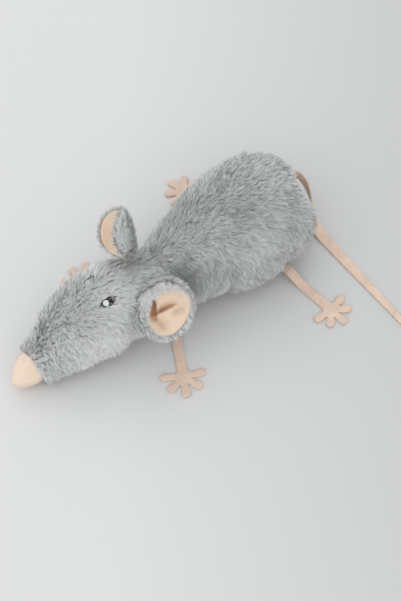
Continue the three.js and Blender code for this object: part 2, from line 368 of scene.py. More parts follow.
def outline_rows():
    """Rings of points of the whole skin from nose tip to rump, read off the outside of the CAD panels."""
    tree = cad_tree(
        "nose_cap", "chin_panel", "head_left_panel", "head_right_panel",
        "belly_panel", "body_left_panel", "body_right_panel",
    )
    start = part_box("nose_cap")[0].x
    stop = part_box("body_right_panel")[1].x
    stations = np.arange(start + 0.4 * MM, stop - 0.3 * MM, 0.8 * MM)
    stations = stations[np.abs(stations - NECK_X) >= GAP_REACH]

    def reach(x, y, z, across, up):
        """How far out the panels lie in a direction, found by a ray from well outside them."""
        direction = Vector((0, across, up))
        hit = tree.ray_cast(Vector((x, y, z)) + RAY_START * direction, -direction)[0]
        return np.nan if hit is None else (hit - Vector((x, y, z))).dot(direction)

    angles = 2 * math.pi * np.arange(COLUMNS) / COLUMNS
    rows = []
    for x in stations:
        y, z = MIDDLE_Y, NOSE_MIDDLE_Z if x < NOSE_END_X else MIDDLE_Z
        for _ in range(3):
            z += np.nan_to_num((reach(x, y, z, 0, 1) - reach(x, y, z, 0, -1)) / 2)
            y += np.nan_to_num((reach(x, y, z, 1, 0) - reach(x, y, z, -1, 0)) / 2)
        spokes = [reach(x, y, z, math.cos(a), math.sin(a)) for a in angles]
        rows.append([x, y, z, *np.maximum(spokes, LEAST_SPOKE)])
    rows = np.array(rows)
    spokes = rows[:, 3:]
    around = np.stack([np.roll(spokes, k, 1) for k in range(-4, 5)])
    usual = np.nanmedian(around, 0)
    spokes[np.abs(spokes - usual) > SLIP * usual] = np.nan
    for row in spokes:
        bad = np.isnan(row)
        if bad.any() and not bad.all():
            row[bad] = np.interp(np.nonzero(bad)[0], np.nonzero(~bad)[0], row[~bad], period=COLUMNS)
    for k in range(1, rows.shape[1]):
        bad = np.isnan(rows[:, k])
        rows[bad, k] = np.interp(rows[bad, 0], rows[~bad, 0], rows[~bad, k])
    return rows, angles


def resample(rows):
    """The rows again at even steps along the outline, so that the ends close in small steps."""
    mean = rows[:, 3:].mean(1)
    run = np.concatenate([[0], np.cumsum(np.hypot(np.diff(rows[:, 0]), np.diff(mean)))])
    count = int(round(run[-1] / ROW_STEP))
    at = np.linspace(0, run[-1], count + 1)
    return np.stack([np.interp(at, run, rows[:, k]) for k in range(rows.shape[1])], 1)


def smooth_rows(rows, times):
    """Rings evened out around themselves and along the skin; the first and last stay."""
    for _ in range(times):
        spokes = rows[:, 3:]
        spokes = 0.5 * spokes + 0.25 * (np.roll(spokes, 1, 1) + np.roll(spokes, -1, 1))
        inner = 0.5 * spokes[1:-1] + 0.25 * (spokes[:-2] + spokes[2:])
        rows[1:-1, 3:] = inner
        rows[1:-1, 1:3] = 0.5 * rows[1:-1, 1:3] + 0.25 * (rows[:-2, 1:3] + rows[2:, 1:3])
    return rows


def skin_grid():
    """The rings' points, in rows from nose to rump."""
    rows, angles = outline_rows()
    rows = smooth_rows(resample(rows), 4)
    ring = np.stack([np.cos(angles), np.sin(angles)], 1)
    points = np.zeros((len(rows), COLUMNS, 3))
    points[:, :, 0] = rows[:, :1]
    points[:, :, 1] = rows[:, 1:2] + rows[:, 3:] * ring[:, 0]
    points[:, :, 2] = rows[:, 2:3] + rows[:, 3:] * ring[:, 1]
    return points


def vertex_normals(points, faces):
    tri = points[faces]
    n = np.cross(tri[:, 2] - tri[:, 0], tri[:, -1] - tri[:, 1])
    total = np.zeros_like(points)
    for k in range(faces.shape[1]):
        np.add.at(total, faces[:, k], n)
    return unit(total)


def closed_skin():
    """The whole skin as one closed mesh: grid rows, and a point at each end."""
    grid = skin_grid()
    count = len(grid)
    points = grid.reshape(-1, 3)
    faces = grid_faces(count, COLUMNS)
    normals = vertex_normals(points, faces)
    under_pile = smooth(NOSE_BASE_X - 2 * MM, NOSE_BASE_X + 6 * MM, points[:, :1])
    points = points - normals * (SKIN_INSET * under_pile - NOSE_PUFF * (1 - under_pile))
    points[:, 2] = np.maximum(points[:, 2], SKIN_FLOOR)
    caps = np.stack([points[:COLUMNS].mean(0), points[-COLUMNS:].mean(0)])
    caps[0, 0] -= 0.4 * MM
    return np.concatenate([points, caps]), faces, count


def seam_pins(points):
    """Which points are held: those on the seams, at the neck and the nose base, and on the floor."""
    x, y, z = points.T
    head = x < NECK_X
    side = np.abs(z - np.where(head, SEAM_HEAD_Z, SEAM_BODY_Z)) < 2.4 * MM
    back = (np.abs(y - np.where(head, 5, 3) * MM) < 2.2 * MM) & (z > 20 * MM)
    neck = np.abs(x - NECK_X) < 4 * MM
    nose = np.abs(x - NOSE_BASE_X) < 3 * MM
    flat = z < SKIN_FLOOR + 0.3 * MM
    return side | back | neck | nose | flat


# The skin as a cloth under pressure, the steps that it is filled in, and the furthest that it may move
SKIN_CLOTH = {
    "quality": 6, "mass": 0.15, "tension_stiffness": 12, "compression_stiffness": 12, "shear_stiffness": 6,
    "bending_stiffness": 0.6, "use_pressure": True, "uniform_pressure_force": 3.0, "shrink_min": -0.02,
    "vertex_group_mass": "seams", "pin_stiffness": 1.0,
}
FILL_STEPS = 20
FILL_LIMIT = 2.2 * MM


def inflate(points, faces, pins):
    """Fills a closed skin with Blender's cloth, held at its seams, and says where its points end up."""
    obj = mesh_object("fill_sim", points, faces)
    group = obj.vertex_groups.new(name="seams")
    group.add([int(i) for i in np.nonzero(pins)[0]], 1.0, "REPLACE")
    cloth = obj.modifiers.new("Cloth", "CLOTH")
    for setting, value in SKIN_CLOTH.items():
        setattr(cloth.settings, setting, value)
    cloth.settings.effector_weights.gravity = 0
    cloth.collision_settings.use_collision = False
    cloth.point_cache.frame_start, cloth.point_cache.frame_end = 1, FILL_STEPS
    scene = bpy.context.scene
    for step in range(1, FILL_STEPS + 1):
        scene.frame_set(step)
        bpy.context.view_layer.update()
    evaluated = obj.evaluated_get(bpy.context.evaluated_depsgraph_get())
    moved = coords(evaluated.to_mesh())
    evaluated.to_mesh_clear()
    scene.frame_set(1)
    bpy.data.objects.remove(obj)
    shift = moved - points
    length = np.linalg.norm(shift, axis=1, keepdims=True)
    mean, most = length.mean() / MM, length.max() / MM
    print(f"filling moved the skin by {mean:.2f} mm on average, {most:.2f} mm at most")
    shift *= np.minimum(1, FILL_LIMIT / np.maximum(length, 1e-9))
    result = points + shift
    result[:, 2] = np.maximum(result[:, 2], SKIN_FLOOR)
    return result


def subdivided(points, faces):
    """Points and faces after one round of Catmull-Clark."""
    obj = mesh_object("subdivision", points, faces)
    modifier = obj.modifiers.new("Subdivision", "SUBSURF")
    modifier.levels = modifier.render_levels = 1
    evaluated = obj.evaluated_get(bpy.context.evaluated_depsgraph_get())
    mesh = evaluated.to_mesh()
    result = coords(mesh)
    sizes = np.zeros(len(mesh.polygons), int)
    mesh.polygons.foreach_get("loop_total", sizes)
    loops = np.zeros(len(mesh.loops), int)
    mesh.loops.foreach_get("vertex_index", loops)
    evaluated.to_mesh_clear()
    bpy.data.objects.remove(obj)
    assert (sizes == 4).all()
    return result, loops.reshape(-1, 4)


def make_skin():
    """The filled skin's points and faces, all facing out."""
    points, faces, rows = closed_skin()
    all_faces = faces.tolist() + end_fans(rows, COLUMNS)
    mesh = mesh_object("winding", points, all_faces)
    fix_normals(mesh)
    all_faces = [list(p.vertices) for p in mesh.data.polygons]
    bpy.data.objects.remove(mesh)
    points = inflate(points, all_faces, seam_pins(points))
    return subdivided(points, all_faces)


# A line down the left rear of the rump, where the tail lies against it
RUMP_LINE = np.linspace([58.5, -10, 47], [62, -24, 28], 6) * MM
RUMP_PRESS = 2.4 * MM


def from_rump_line(points):
    """How far the points are from the line down the rump."""
    return np.min(np.linalg.norm(points[:, None] - RUMP_LINE, axis=2), 1)


def press_rump(points, faces):
    """The skin is pressed in where the tail lies against the left rear of the rump."""
    depth = RUMP_PRESS * (1 - smooth(7 * MM, 25 * MM, from_rump_line(points)))
    return points - vertex_normals(points, faces) * depth[:, None]


SKIN_POINTS, SKIN_FACES = make_skin()
SKIN_POINTS = press_rump(SKIN_POINTS, SKIN_FACES)
SKIN_NORMALS = vertex_normals(SKIN_POINTS, SKIN_FACES)


def cut_piece(name, keep_low, keep_high, material):
    """The part of the skin between two x planes, as a closed piece."""
    def trim(bm):
        for plane, inner in ((keep_low, True), (keep_high, False)):
            if plane is None:
                continue
            cut = bmesh.ops.bisect_plane(
                bm, geom=bm.verts[:] + bm.edges[:] + bm.faces[:],
                plane_co=(plane, 0, 0), plane_no=(1, 0, 0), clear_inner=inner, clear_outer=not inner,
            )
            edges = [e for e in cut["geom_cut"] if isinstance(e, bmesh.types.BMEdge)]
            bmesh.ops.holes_fill(bm, edges=edges, sides=0)

    obj = mesh_object(name, SKIN_POINTS, SKIN_FACES, material)
    change_mesh(obj, trim)
    return obj


body_skin = cut_piece("body_skin", NECK_X, None, BACKING)
head_skin = cut_piece("head_skin", NOSE_BASE_X, NECK_X, BACKING)
nose = cut_piece("nose_velour", None, NOSE_BASE_X + 1.0 * MM, VELOUR)


# ---------------------------------------------------------------- the tail's path

# x, y, z of the middle of the tail, its turn about its own line in degrees, and its width, in mm
TAIL_ROWS = np.array([
    [61, 15, 44, 90, 7.5],
    [65, 13, 42, 90, 7.5],
    [70.5, 9, 37.5, 90, 8],
    [73, 2, 28, 86, 8.5],
    [72, -6.5, 16, 74, 9],
    [68.5, -16, 6.5, 46, 9.6],
    [65.5, -25, 2.1, 14, 9.8],
    [65, -34, 0.95, 0, 9.4],
    [65, -46, 0.95, 0, 8.9],
    [65, -75, 0.95, 0, 7.6],
    [65, -110, 0.95, 0, 5.95],
    [65, -150, 0.95, 0, 4.1],
    [65, -188, 0.95, 0, 2.4],
])


# ---------------------------------------------------------------- fur


def pile_flow(points, normals):
    """The way the pile is brushed: backwards and over to the left, down the flanks and the rump."""
    left, right = smooth(0.2, 0.85, -normals[:, 1]), smooth(0.2, 0.8, normals[:, 1])
    snout = 1 - smooth(NOSE_BASE_X + 12 * MM, NOSE_BASE_X + 50 * MM, points[:, 0])
    flow = np.tile([0.78, -0.62, -0.1], (len(points), 1))
    for share, direction in (
        (left, (0.35, -0.35, -1.0)),
        (right, (0.95, -0.15, -0.3)),
        (smooth(0.4, 0.9, normals[:, 0]), (0.2, -0.5, -0.8)),
        (smooth(-0.1, 0.7, normals[:, 1]) * snout, (0.8, -0.15, -0.2)),
        (left * snout, (0.62, -0.5, -0.55)),
    ):
        flow = flow * (1 - share[:, None]) + share[:, None] * np.array(direction)
    turn = 0.26 * wave_noise(points, 60 * MM, 5, 2)[:, None]
    return flow * np.cos(turn) + np.cross(normals, flow) * np.sin(turn)


def sample_surface(points, faces, normals, density, source):
    """Random roots on a mesh of quads. density(middles, normals) gives the roots per square metre."""
    tris = np.concatenate([faces[:, [0, 1, 2]], faces[:, [0, 2, 3]]])
    corner = points[tris]
    area = 0.5 * np.linalg.norm(np.cross(corner[:, 1] - corner[:, 0], corner[:, 2] - corner[:, 0]), axis=1)
    wanted = area * density(corner.mean(1), unit(normals[tris].sum(1)))
    whole = np.cumsum(wanted)
    count = int(whole[-1])
    picks = (np.arange(count) + source.uniform(0, 1, count)) / count * whole[-1]
    chosen = np.minimum(np.searchsorted(whole, picks), len(tris) - 1)
    u, v = source.uniform(0, 1, (2, count))
    flip = u + v > 1
    u[flip], v[flip] = 1 - u[flip], 1 - v[flip]
    w = np.stack([1 - u - v, u, v], 1)
    roots = (corner[chosen] * w[:, :, None]).sum(1)
    n = unit((normals[tris][chosen] * w[:, :, None]).sum(1))
    return roots, n


# Where a strand's points lie between its root and its tip, and how wide the tufts are
STRAND_STEPS = np.array([0.0, 0.38, 0.74, 1.0])
TUFT = 1.3 * MM
# How much the tufts differ from each other, and how much the strands of a tuft do
TUFT_SPREAD = {"turn": 0.34, "lean": 0.15, "length": 0.08, "shade": 0.13}
STRAND_SPREAD = {"turn": 0.16, "length": 0.1, "root_lean": 0.1, "tip_lean": 0.12, "shade": 0.14, "roll": 0.55}


class Pile:
    """Strands grown on a surface, in tufts. They lean in radians off the normal, at root and tip."""

    def __init__(self, roots, normals, flow, length, shade, seed, gather=0.5, lean=(0.66, 1.3), rise=0.0):
        source = np.random.default_rng(seed)
        count = len(roots)
        tuft_count = max(int(count / self.per_tuft(roots)), 1)
        heads = source.choice(count, tuft_count, replace=False)
        tree = tree_of(roots[heads])
        own = np.array([tree.find(p)[1] for p in roots])
        tuft = {name: source.normal(0, spread, tuft_count)[own] for name, spread in TUFT_SPREAD.items()}
        strand = {name: source.normal(0, spread, count) for name, spread in STRAND_SPREAD.items()}
        flat = unit(flow - normals * np.sum(flow * normals, 1, keepdims=True))
        side = np.cross(normals, flat)
        turn = tuft["turn"] + strand["turn"]
        flat = flat * np.cos(turn)[:, None] + side * np.sin(turn)[:, None]
        self.length = length * np.clip(1 + tuft["length"] + strand["length"], 0.6, 1.3)
        start = lean[0] - rise + tuft["lean"] + strand["root_lean"]
        end = lean[1] - rise + tuft["lean"] + strand["tip_lean"]
        pull = roots[heads][own] - roots
        pull -= normals * np.sum(pull * normals, 1, keepdims=True)
        paths = [roots]
        previous = 0.0
        here = roots.copy()
        for step in STRAND_STEPS[1:]:
            middle = (step + previous) / 2
            angle = start + (end - start) * middle
            direction = normals * np.cos(angle)[:, None] + flat * np.sin(angle)[:, None]
            here = here + direction * ((step - previous) * self.length)[:, None]
            paths.append(here + pull * gather * step**1.5)
            previous = step
        self.paths = np.stack(paths, 1)
        self.normals = normals
        self.shade = np.clip(shade + tuft["shade"] + strand["shade"], 0.02, 0.98)
        self.roll = strand["roll"]

    @staticmethod
    def per_tuft(roots):
        """How many strands stand in one tuft, from a sample of about 200 of them."""
        tree = tree_of(roots)
        probe = roots[:: max(len(roots) // 200, 1)]
        return max(np.mean([len(tree.find_range(p, TUFT / 2)) for p in probe]), 1)

    def take(self, mask):
        """The strands that a mask picks."""
        part = object.__new__(Pile)
        for key in ("length", "paths", "normals", "shade", "roll"):
            setattr(part, key, getattr(self, key)[mask])
        return part

    def to_object(self, name):
        """Each strand as two quads and a triangle that taper to its tip, kept above the floor."""
        count = len(self.paths)
        paths = self.paths.copy()
        paths[:, :, 2] = np.maximum(paths[:, :, 2], 0.25 * MM + 0.2 * MM * np.arange(4)[None, :] / 3)
        along = np.gradient(paths, axis=1)
        across = unit(np.cross(along, self.normals[:, None, :]))
        out = unit(np.cross(across, along))
        roll = self.roll[:, None, None]
        across = across * np.cos(roll) + out * np.sin(roll)
        half = STRAND_WIDTH / 2 * np.array([0.9, 1.0, 0.7])
        left = paths[:, :3] - across[:, :3] * half[None, :, None]
        right = paths[:, :3] + across[:, :3] * half[None, :, None]
        verts = np.concatenate([np.stack([left, right], 2).reshape(count, 6, 3), paths[:, 3:4]], 1)
        pattern = np.array([[0, 1, 3], [0, 3, 2], [2, 3, 5], [2, 5, 4], [4, 5, 6]])
        tris = (np.arange(count)[:, None, None] * 7 + pattern[None]).reshape(-1, 3)
        mesh = bpy.data.meshes.new(name)
        mesh.vertices.add(count * 7)
        mesh.vertices.foreach_set("co", verts.astype(np.float32).ravel())
        mesh.loops.add(len(tris) * 3)
        mesh.loops.foreach_set("vertex_index", tris.astype(np.int32).ravel())
        mesh.polygons.add(len(tris))
        mesh.polygons.foreach_set("loop_start", np.arange(0, len(tris) * 3, 3, dtype=np.int32))
        mesh.polygons.foreach_set("use_smooth", np.ones(len(tris), bool))
        mesh.update(calc_edges=True)
        layer = mesh.uv_layers.new(name="OFBake")
        v = np.array([*np.repeat(STRAND_STEPS[:3], 2), 1.0])
        along_v = np.repeat(0.01 + 0.98 * v[None], count, 0)
        uv = np.stack([np.repeat(self.shade[:, None], 7, 1), along_v], -1)
        layer.data.foreach_set("uv", uv.reshape(-1, 2)[tris.ravel()].astype(np.float32).ravel())
        blended = unit(0.7 * self.normals[:, None, :] + 0.5 * out)
        blended = np.concatenate([np.repeat(blended[:, :3], 2, 1), blended[:, 3:4]], 1).reshape(-1, 3)
        mesh.normals_split_custom_set_from_vertices(blended.tolist())
        mesh.materials.append(FUR)
        obj = link(bpy.data.objects.new(name, mesh))
        return obj


def almond_of(node):
    """Middle, long axis, short axis, normal and half sizes of an eye of the CAD."""
    co = coords(frame["nodes"][node].data)
    axes = np.linalg.svd(co - co.mean(0), full_matrices=False)[2]
    out = axes[2] if axes[2][2] > 0 else -axes[2]
    along = axes[0] if axes[0][0] < 0 else -axes[0]
    across = np.cross(out, along)
    spread = (co - co.mean(0)) @ np.stack([along, across]).T
    half = (spread.max(0) - spread.min(0)) / 2
    return co.mean(0), along, across, out, half


EYES = {name: almond_of(name) for name in ("left_eye", "right_eye")}


def in_almond(points, eye, grow):
    """How far inside an eye's almond the points are: above 0 is inside."""
    middle, along, across, _, half = eye
    a = (points - middle) @ along / (half[0] + grow)
    b = (points - middle) @ across / (half[1] + grow)
    return 1 - a * a - np.abs(b)


# The hollow behind the left ear, where the pile's colour is darkened as painted shade
SHADED_CREASE = np.array([-70, -19, 50]) * MM
SHADED_CREASE_SIZE = np.array([13, 14, 18]) * MM


def head_and_body_pile():
    """All the pile of the skin but for the ears'."""
    source = np.random.default_rng(SEED)

    def density(middles, normals):
        under = smooth(0.3, 0.9, -normals[:, 2])
        nose = middles[:, 0] < NOSE_BASE_X - NOSE_OVERHANG
        base = 1.35 - 0.35 * smooth(NOSE_BASE_X + 1 * MM, NOSE_BASE_X + 6 * MM, middles[:, 0])
        return np.where(nose, 0, (1 - 0.72 * under) * base * FUR_DENSITY)

    roots, normals = sample_surface(SKIN_POINTS, SKIN_FACES, SKIN_NORMALS, density, source)
    keep = roots[:, 0] > NOSE_BASE_X - NOSE_OVERHANG
    for name, eye in EYES.items():
        keep &= in_almond(roots, eye, -EYE_OVERLAP[name]) < 0
    roots, normals = roots[keep], normals[keep]
    x = roots[:, 0]
    length = PILE_LENGTH * (0.92 + 0.08 * smooth(NOSE_BASE_X, NOSE_BASE_X + 20 * MM, x))
    chin = 1 - smooth(NECK_X - 12 * MM, NECK_X, x)
    length *= 1 - (0.55 - 0.4 * chin) * smooth(0.5, 0.95, -normals[:, 2])
    flow = pile_flow(roots, normals)
    shade = 0.39 + 0.08 * wave_noise(roots, 16 * MM, 21) + 0.08 * wave_noise(roots, 45 * MM, 22, 1)
    shade += 0.33 * (1 - smooth(NECK_X - 45 * MM, NECK_X - 5 * MM, x))
    # Painted shade: the pile darkens towards the hollow behind the left ear
    from_shaded_crease = np.linalg.norm((roots - SHADED_CREASE) / SHADED_CREASE_SIZE, axis=1)
    shade -= 0.5 * np.exp(-from_shaded_crease**2)
    rise = 0.32 * (1 - smooth(NOSE_BASE_X + 1 * MM, NOSE_BASE_X + 26 * MM, x))
    chin *= smooth(NOSE_BASE_X + 6 * MM, NOSE_BASE_X + 30 * MM, x)
    rise += 0.45 * chin * (1 - smooth(5 * MM, 11 * MM, roots[:, 2]))
    path = catmull(TAIL_ROWS, 4)[:, :3] * MM
    away = np.min(np.linalg.norm(roots[:, None] - path[None, :40], axis=2), 1)
    pressed = 1 - smooth(5 * MM, 13 * MM, away)
    pressed = np.maximum(pressed, 1 - smooth(10 * MM, 23 * MM, from_rump_line(roots)))
    rise -= 0.35 * pressed
    length *= 1 - 0.55 * pressed
    pile = Pile(roots, normals, flow, length, shade, SEED + 1, rise=rise)
    clear_left_eye(pile)
    return pile


# How far the pile grows in over the edge of each eye
EYE_OVERLAP = {"left_eye": 1.7 * MM, "right_eye": 2.3 * MM}


def clear_left_eye(pile):
    """Strands that would lie over the left eye are drawn back to its edge, but for 4 % of them."""
    source = np.random.default_rng(SEED + 2)
    eye, grow = EYES["left_eye"], -1.0 * MM
    over = (in_almond(pile.paths[:, 3], eye, grow) > 0) | (in_almond(pile.paths[:, 2], eye, grow) > 0)
    index = np.nonzero(over & (source.uniform(0, 1, len(over)) > 0.04))[0]
    root, tip = pile.paths[index, 0], pile.paths[index, 3]
    share = np.full(len(index), 1.0)
    for step in np.linspace(0.95, 0.15, 17):
        share[in_almond(root + (tip - root) * share[:, None], eye, grow) > 0] = step
    share = np.minimum(share * source.uniform(0.95, 1.35, len(index)), 1)
    root = root[:, None]
    pile.paths[index] = root + (pile.paths[index] - root) * share[:, None, None]


# Roots per square metre, and how wide a strand is
FUR_DENSITY = 3.3e6
STRAND_WIDTH = 0.32 * MM

PILE = head_and_body_pile()
root_x, root_y = PILE.paths[:, 0, 0], PILE.paths[:, 0, 1]
front_cut, rear_cut = NECK_X - NECK_REACH - 2.5 * MM, NECK_X + NECK_REACH + 3.5 * MM
rump_cut = 12 * MM
parts = {
    "head_fur_left": (root_x < front_cut) & (root_y < 5 * MM),
    "head_fur_right": (root_x < front_cut) & (root_y >= 5 * MM),
    "neck_fur_front": (root_x >= front_cut) & (root_x < NECK_X),
    "neck_fur_rear": (root_x >= NECK_X) & (root_x < rear_cut),
    "body_fur_left": (root_x >= rear_cut) & (root_x < rump_cut) & (root_y < 3 * MM),
    "body_fur_right": (root_x >= rear_cut) & (root_x < rump_cut) & (root_y >= 3 * MM),
    "rump_fur_left": (root_x >= rump_cut) & (root_y < 3 * MM),
    "rump_fur_right": (root_x >= rump_cut) & (root_y >= 3 * MM),
}
fur = {name: PILE.take(mask).to_object(name) for name, mask in parts.items()}

# ---------------------------------------------------------------- ears


def ear_frame(side_name):
    """Root, up, side and facing of an ear, from its hinge and its CAD back."""
    joint = next(j for j in frame["joints"] if j["name"] == f"{side_name}_ear_flop")
    root, side = np.array(joint["pos_m"]), unit(np.array(joint["axis"]))
    co = coords(frame["nodes"][f"{side_name}_ear_back"].data)
    tip = co[np.argmax(np.linalg.norm(co - root, axis=1))]
    up = tip - root
    up = unit(up - side * (up @ side))
    return root, up, side, np.cross(side, up)


# Each ear: its radius, its breadth as a share of that, the radii that its two halves curl to, the depth of
# its hollow and how far the lining's edge is tucked in. Then its lining: size and breadth as shares, and
# place. Then its rim: where the pile turns outwards, how far in over the lining it grows, and from which
# side on. Last, how thick the ear is
EAR_SHAPES = {
    "left": {
        "radius": 20.5 * MM, "breadth": 1.14,
        "curls": (34 * MM, 34 * MM), "cup": 4.5 * MM, "tuck": 1.4 * MM,
        "lining": 0.79, "wide": 1.34, "offset": (-0.2 * MM, 3.6 * MM), "rim": (-1, 1),
        "rim_depth": 0.55, "rim_from": -2, "depth": 5.2 * MM,
    },
    "right": {
        "radius": 20 * MM, "breadth": 1.0,
        "curls": (15 * MM, 9.5 * MM), "cup": 2.0 * MM, "tuck": 0.3 * MM,
        "lining": 0.98, "wide": 1.0, "offset": (-0.5 * MM, 0.4 * MM), "rim": (0.0, 0.8),
        "rim_depth": 0.85, "rim_from": 0.1, "depth": 1.7 * MM,
    },
}
EAR_CENTRE = 1.06


def ear_surface(side_name, across, along, depth):
    """A point of an ear: across and along from its root, and its depth from the back towards the hollow."""
    root, up, side, facing = EAR_FRAMES[side_name]
    shape = EAR_SHAPES[side_name]
    radius = shape["radius"]
    curl = np.where(across > 0, shape["curls"][1], shape["curls"][0])
    r = np.hypot(across / shape["breadth"], along - EAR_CENTRE * radius) / radius
    hollow = shape["cup"] * (1 - np.clip(r, 0, 1.2) ** 2) * smooth(0, 0.5 * radius, along)
    depth = depth - hollow
    pinch = 1 - 0.5 * (1 - smooth(0, 0.55 * radius, along))
    bend = across / curl
    return (
        root
        + up * along[..., None]
        + side * ((curl - depth) * np.sin(bend) * pinch)[..., None]
        + facing * (curl - (curl - depth) * np.cos(bend))[..., None]
    )


# Folds of a lining, in mm as (across, along): from, to, depth at both ends, width on its left and right
FOLDS = {
    "left": [
        ((-6.0, 9.0), (5.8, 19.0), (5.2, 4.8), 5.5, 0.8),
        ((5.8, 19.0), (-4.5, 27.0), (4.6, 3.0), 0.9, 3.4),
        ((-4.5, 27.0), (-5.0, 34.0), (1.8, 0.3), 3.4, 3.4),
        ((9.0, 22.0), (11.0, 28.0), (2.0, 2.0), 4.0, 4.0),
        ((-2.0, 31.0), (-6.0, 34.0), (1.9, 1.5), 3.0, 3.0),
        ((0.5, 8.0), (4.0, 16.0), (4.0, 4.6), 5.5, 3.2),
    ],
    "right": [
        ((-2.5, 5.0), (-5.0, 17.0), (1.5, 1.7), 2.6, 1.0),
        ((-5.0, 17.0), (-3.0, 22.0), (1.7, 0.2), 1.2, 1.6),
    ],
}
# The depth in mm at which a fold of a lining gets its darkest painted shade
FOLD_DARKEST = 3.6
# How far a lining stands up along the steep side of a fold, as a share of its depth
FOLD_RIDGE = 0.3


def pleat(side_name, across, along):
    """Depth of the folds that the ear's root is gathered into."""
    q = np.stack([across, along], -1) / MM
    total = np.zeros_like(across)
    ridge = np.zeros_like(across)
    for start, end, depths, wide_left, wide_right in FOLDS[side_name]:
        a, b = np.array(start), np.array(end)
        run = b - a
        t = np.clip(((q - a) @ run) / (run @ run), 0, 1)
        away = q - a - t[..., None] * run
        distance = np.linalg.norm(away, axis=-1)
        on_left = (away[..., 0] * run[1] - away[..., 1] * run[0]) > 0
        width = np.where(on_left, wide_left, wide_right)
        full = depths[0] + (depths[1] - depths[0]) * t
        total = np.maximum(total, full * np.exp(-((distance / width) ** 2)))
        steep = on_left == (wide_left < wide_right)
        ridge = np.maximum(ridge, full * steep * np.exp(-(((distance - 1.9) / 1.3) ** 2)))
    return (FOLD_RIDGE * ridge - total) * MM


EAR_FRAMES = {name: ear_frame(name) for name in EAR_SHAPES}


def polar(radius, breadth, rings, sectors):
    """Across and along of rings of points that fill an ear's outline about its middle."""
    r = np.linspace(0.02, 1, rings)[:, None] * radius
    a = 2 * math.pi * np.arange(sectors)[None, :] / sectors
    return r * np.cos(a) * breadth, r * np.sin(a)


def disc_solid(name, low, high, material):
    """A closed solid whose rings run out over the low side of a disc and back over the high one."""
    rows, sectors = 2 * len(low), low.shape[1]
    points = np.concatenate([low.reshape(-1, 3), high[::-1].reshape(-1, 3)])
    ends = np.stack([points[:sectors].mean(0), points[-sectors:].mean(0)])
    faces = grid_faces(rows, sectors).tolist() + end_fans(rows, sectors)
    obj = mesh_object(name, np.concatenate([points, ends]), faces, material)
    fix_normals(obj)
    return obj


def ear_back_surface(side_name, rings, sectors):
    """The furry back of an ear, from its middle out to the rim."""
    shape = EAR_SHAPES[side_name]
    radius = shape["radius"]
    across, along = polar(radius, shape["breadth"], rings, sectors)
    share = np.linspace(0.02, 1, rings)[:, None] * np.ones((1, sectors))
    puff = np.sqrt(np.clip(1 - share**4, 0, 1))
    depth = -(shape["depth"] + 0.6 * MM) * puff
    return ear_surface(side_name, across, along + EAR_CENTRE * radius, depth), share


def make_ear(side_name):
    """An ear's cloth and its gathered lining."""
    shape = EAR_SHAPES[side_name]
    radius, breadth = shape["radius"], shape["breadth"]
    rings, sectors = 16, 72
    back, share = ear_back_surface(side_name, rings, sectors)
    across, along = polar(radius, breadth, rings, sectors)
    hollow = -shape["depth"] * np.sqrt(np.clip(1 - share**6, 0, 1)) + 0.5 * MM
    front = ear_surface(side_name, across, along + EAR_CENTRE * radius, hollow)
    ear = disc_solid(f"{side_name}_ear_fabric", back, front, BACKING)
    rings, sectors = 44, 120
    inner = radius * shape["lining"]
    across, along = polar(inner, shape["wide"], rings, sectors)
    across = across + shape["offset"][0]
    along = along + EAR_CENTRE * radius + shape["offset"][1]
    share = np.linspace(0.02, 1, rings)[:, None]
    edge = smooth(0.8, 1.0, share)
    folds = pleat(side_name, across, along)
    lift = 0.9 * MM + folds * (1 - edge) - shape["tuck"] * smooth(0.9, 1.0, share) ** 2
    low = ear_surface(side_name, across, along, lift - 0.8 * MM)
    high = ear_surface(side_name, across, along, lift)
    lining = disc_solid(f"{side_name}_ear_velour", low, high, LINING)
    # Painted shade: how deep each point lies in a fold, stored for the lining's colour
    depth = np.clip(-folds / (FOLD_DARKEST * MM), 0, 1)
    depth = np.concatenate([depth.ravel(), depth[::-1].ravel(), [0, 0]])
    shade = lining.data.attributes.new("fold", "FLOAT", "POINT")
    shade.data.foreach_set("value", depth.astype(np.float32))
    return ear, lining


def beyond_lining(side_name, roots, normals):
    """Which roots stand on the back of an ear, or on its front outside the lining."""
    shape = EAR_SHAPES[side_name]
    root, up, side, facing = EAR_FRAMES[side_name]
    inner = shape["radius"] * shape["lining"] - 0.6 * MM
    curl = np.where((roots - root) @ side > 0, shape["curls"][1], shape["curls"][0])
    across = curl * np.arcsin(np.clip((roots - root) @ side / curl, -1, 1)) - shape["offset"][0]
    along = (roots - root) @ up - EAR_CENTRE * shape["radius"] - shape["offset"][1]
    inside = np.hypot(across / shape["wide"], along) < inner
    return (normals @ facing < 0) | ~inside


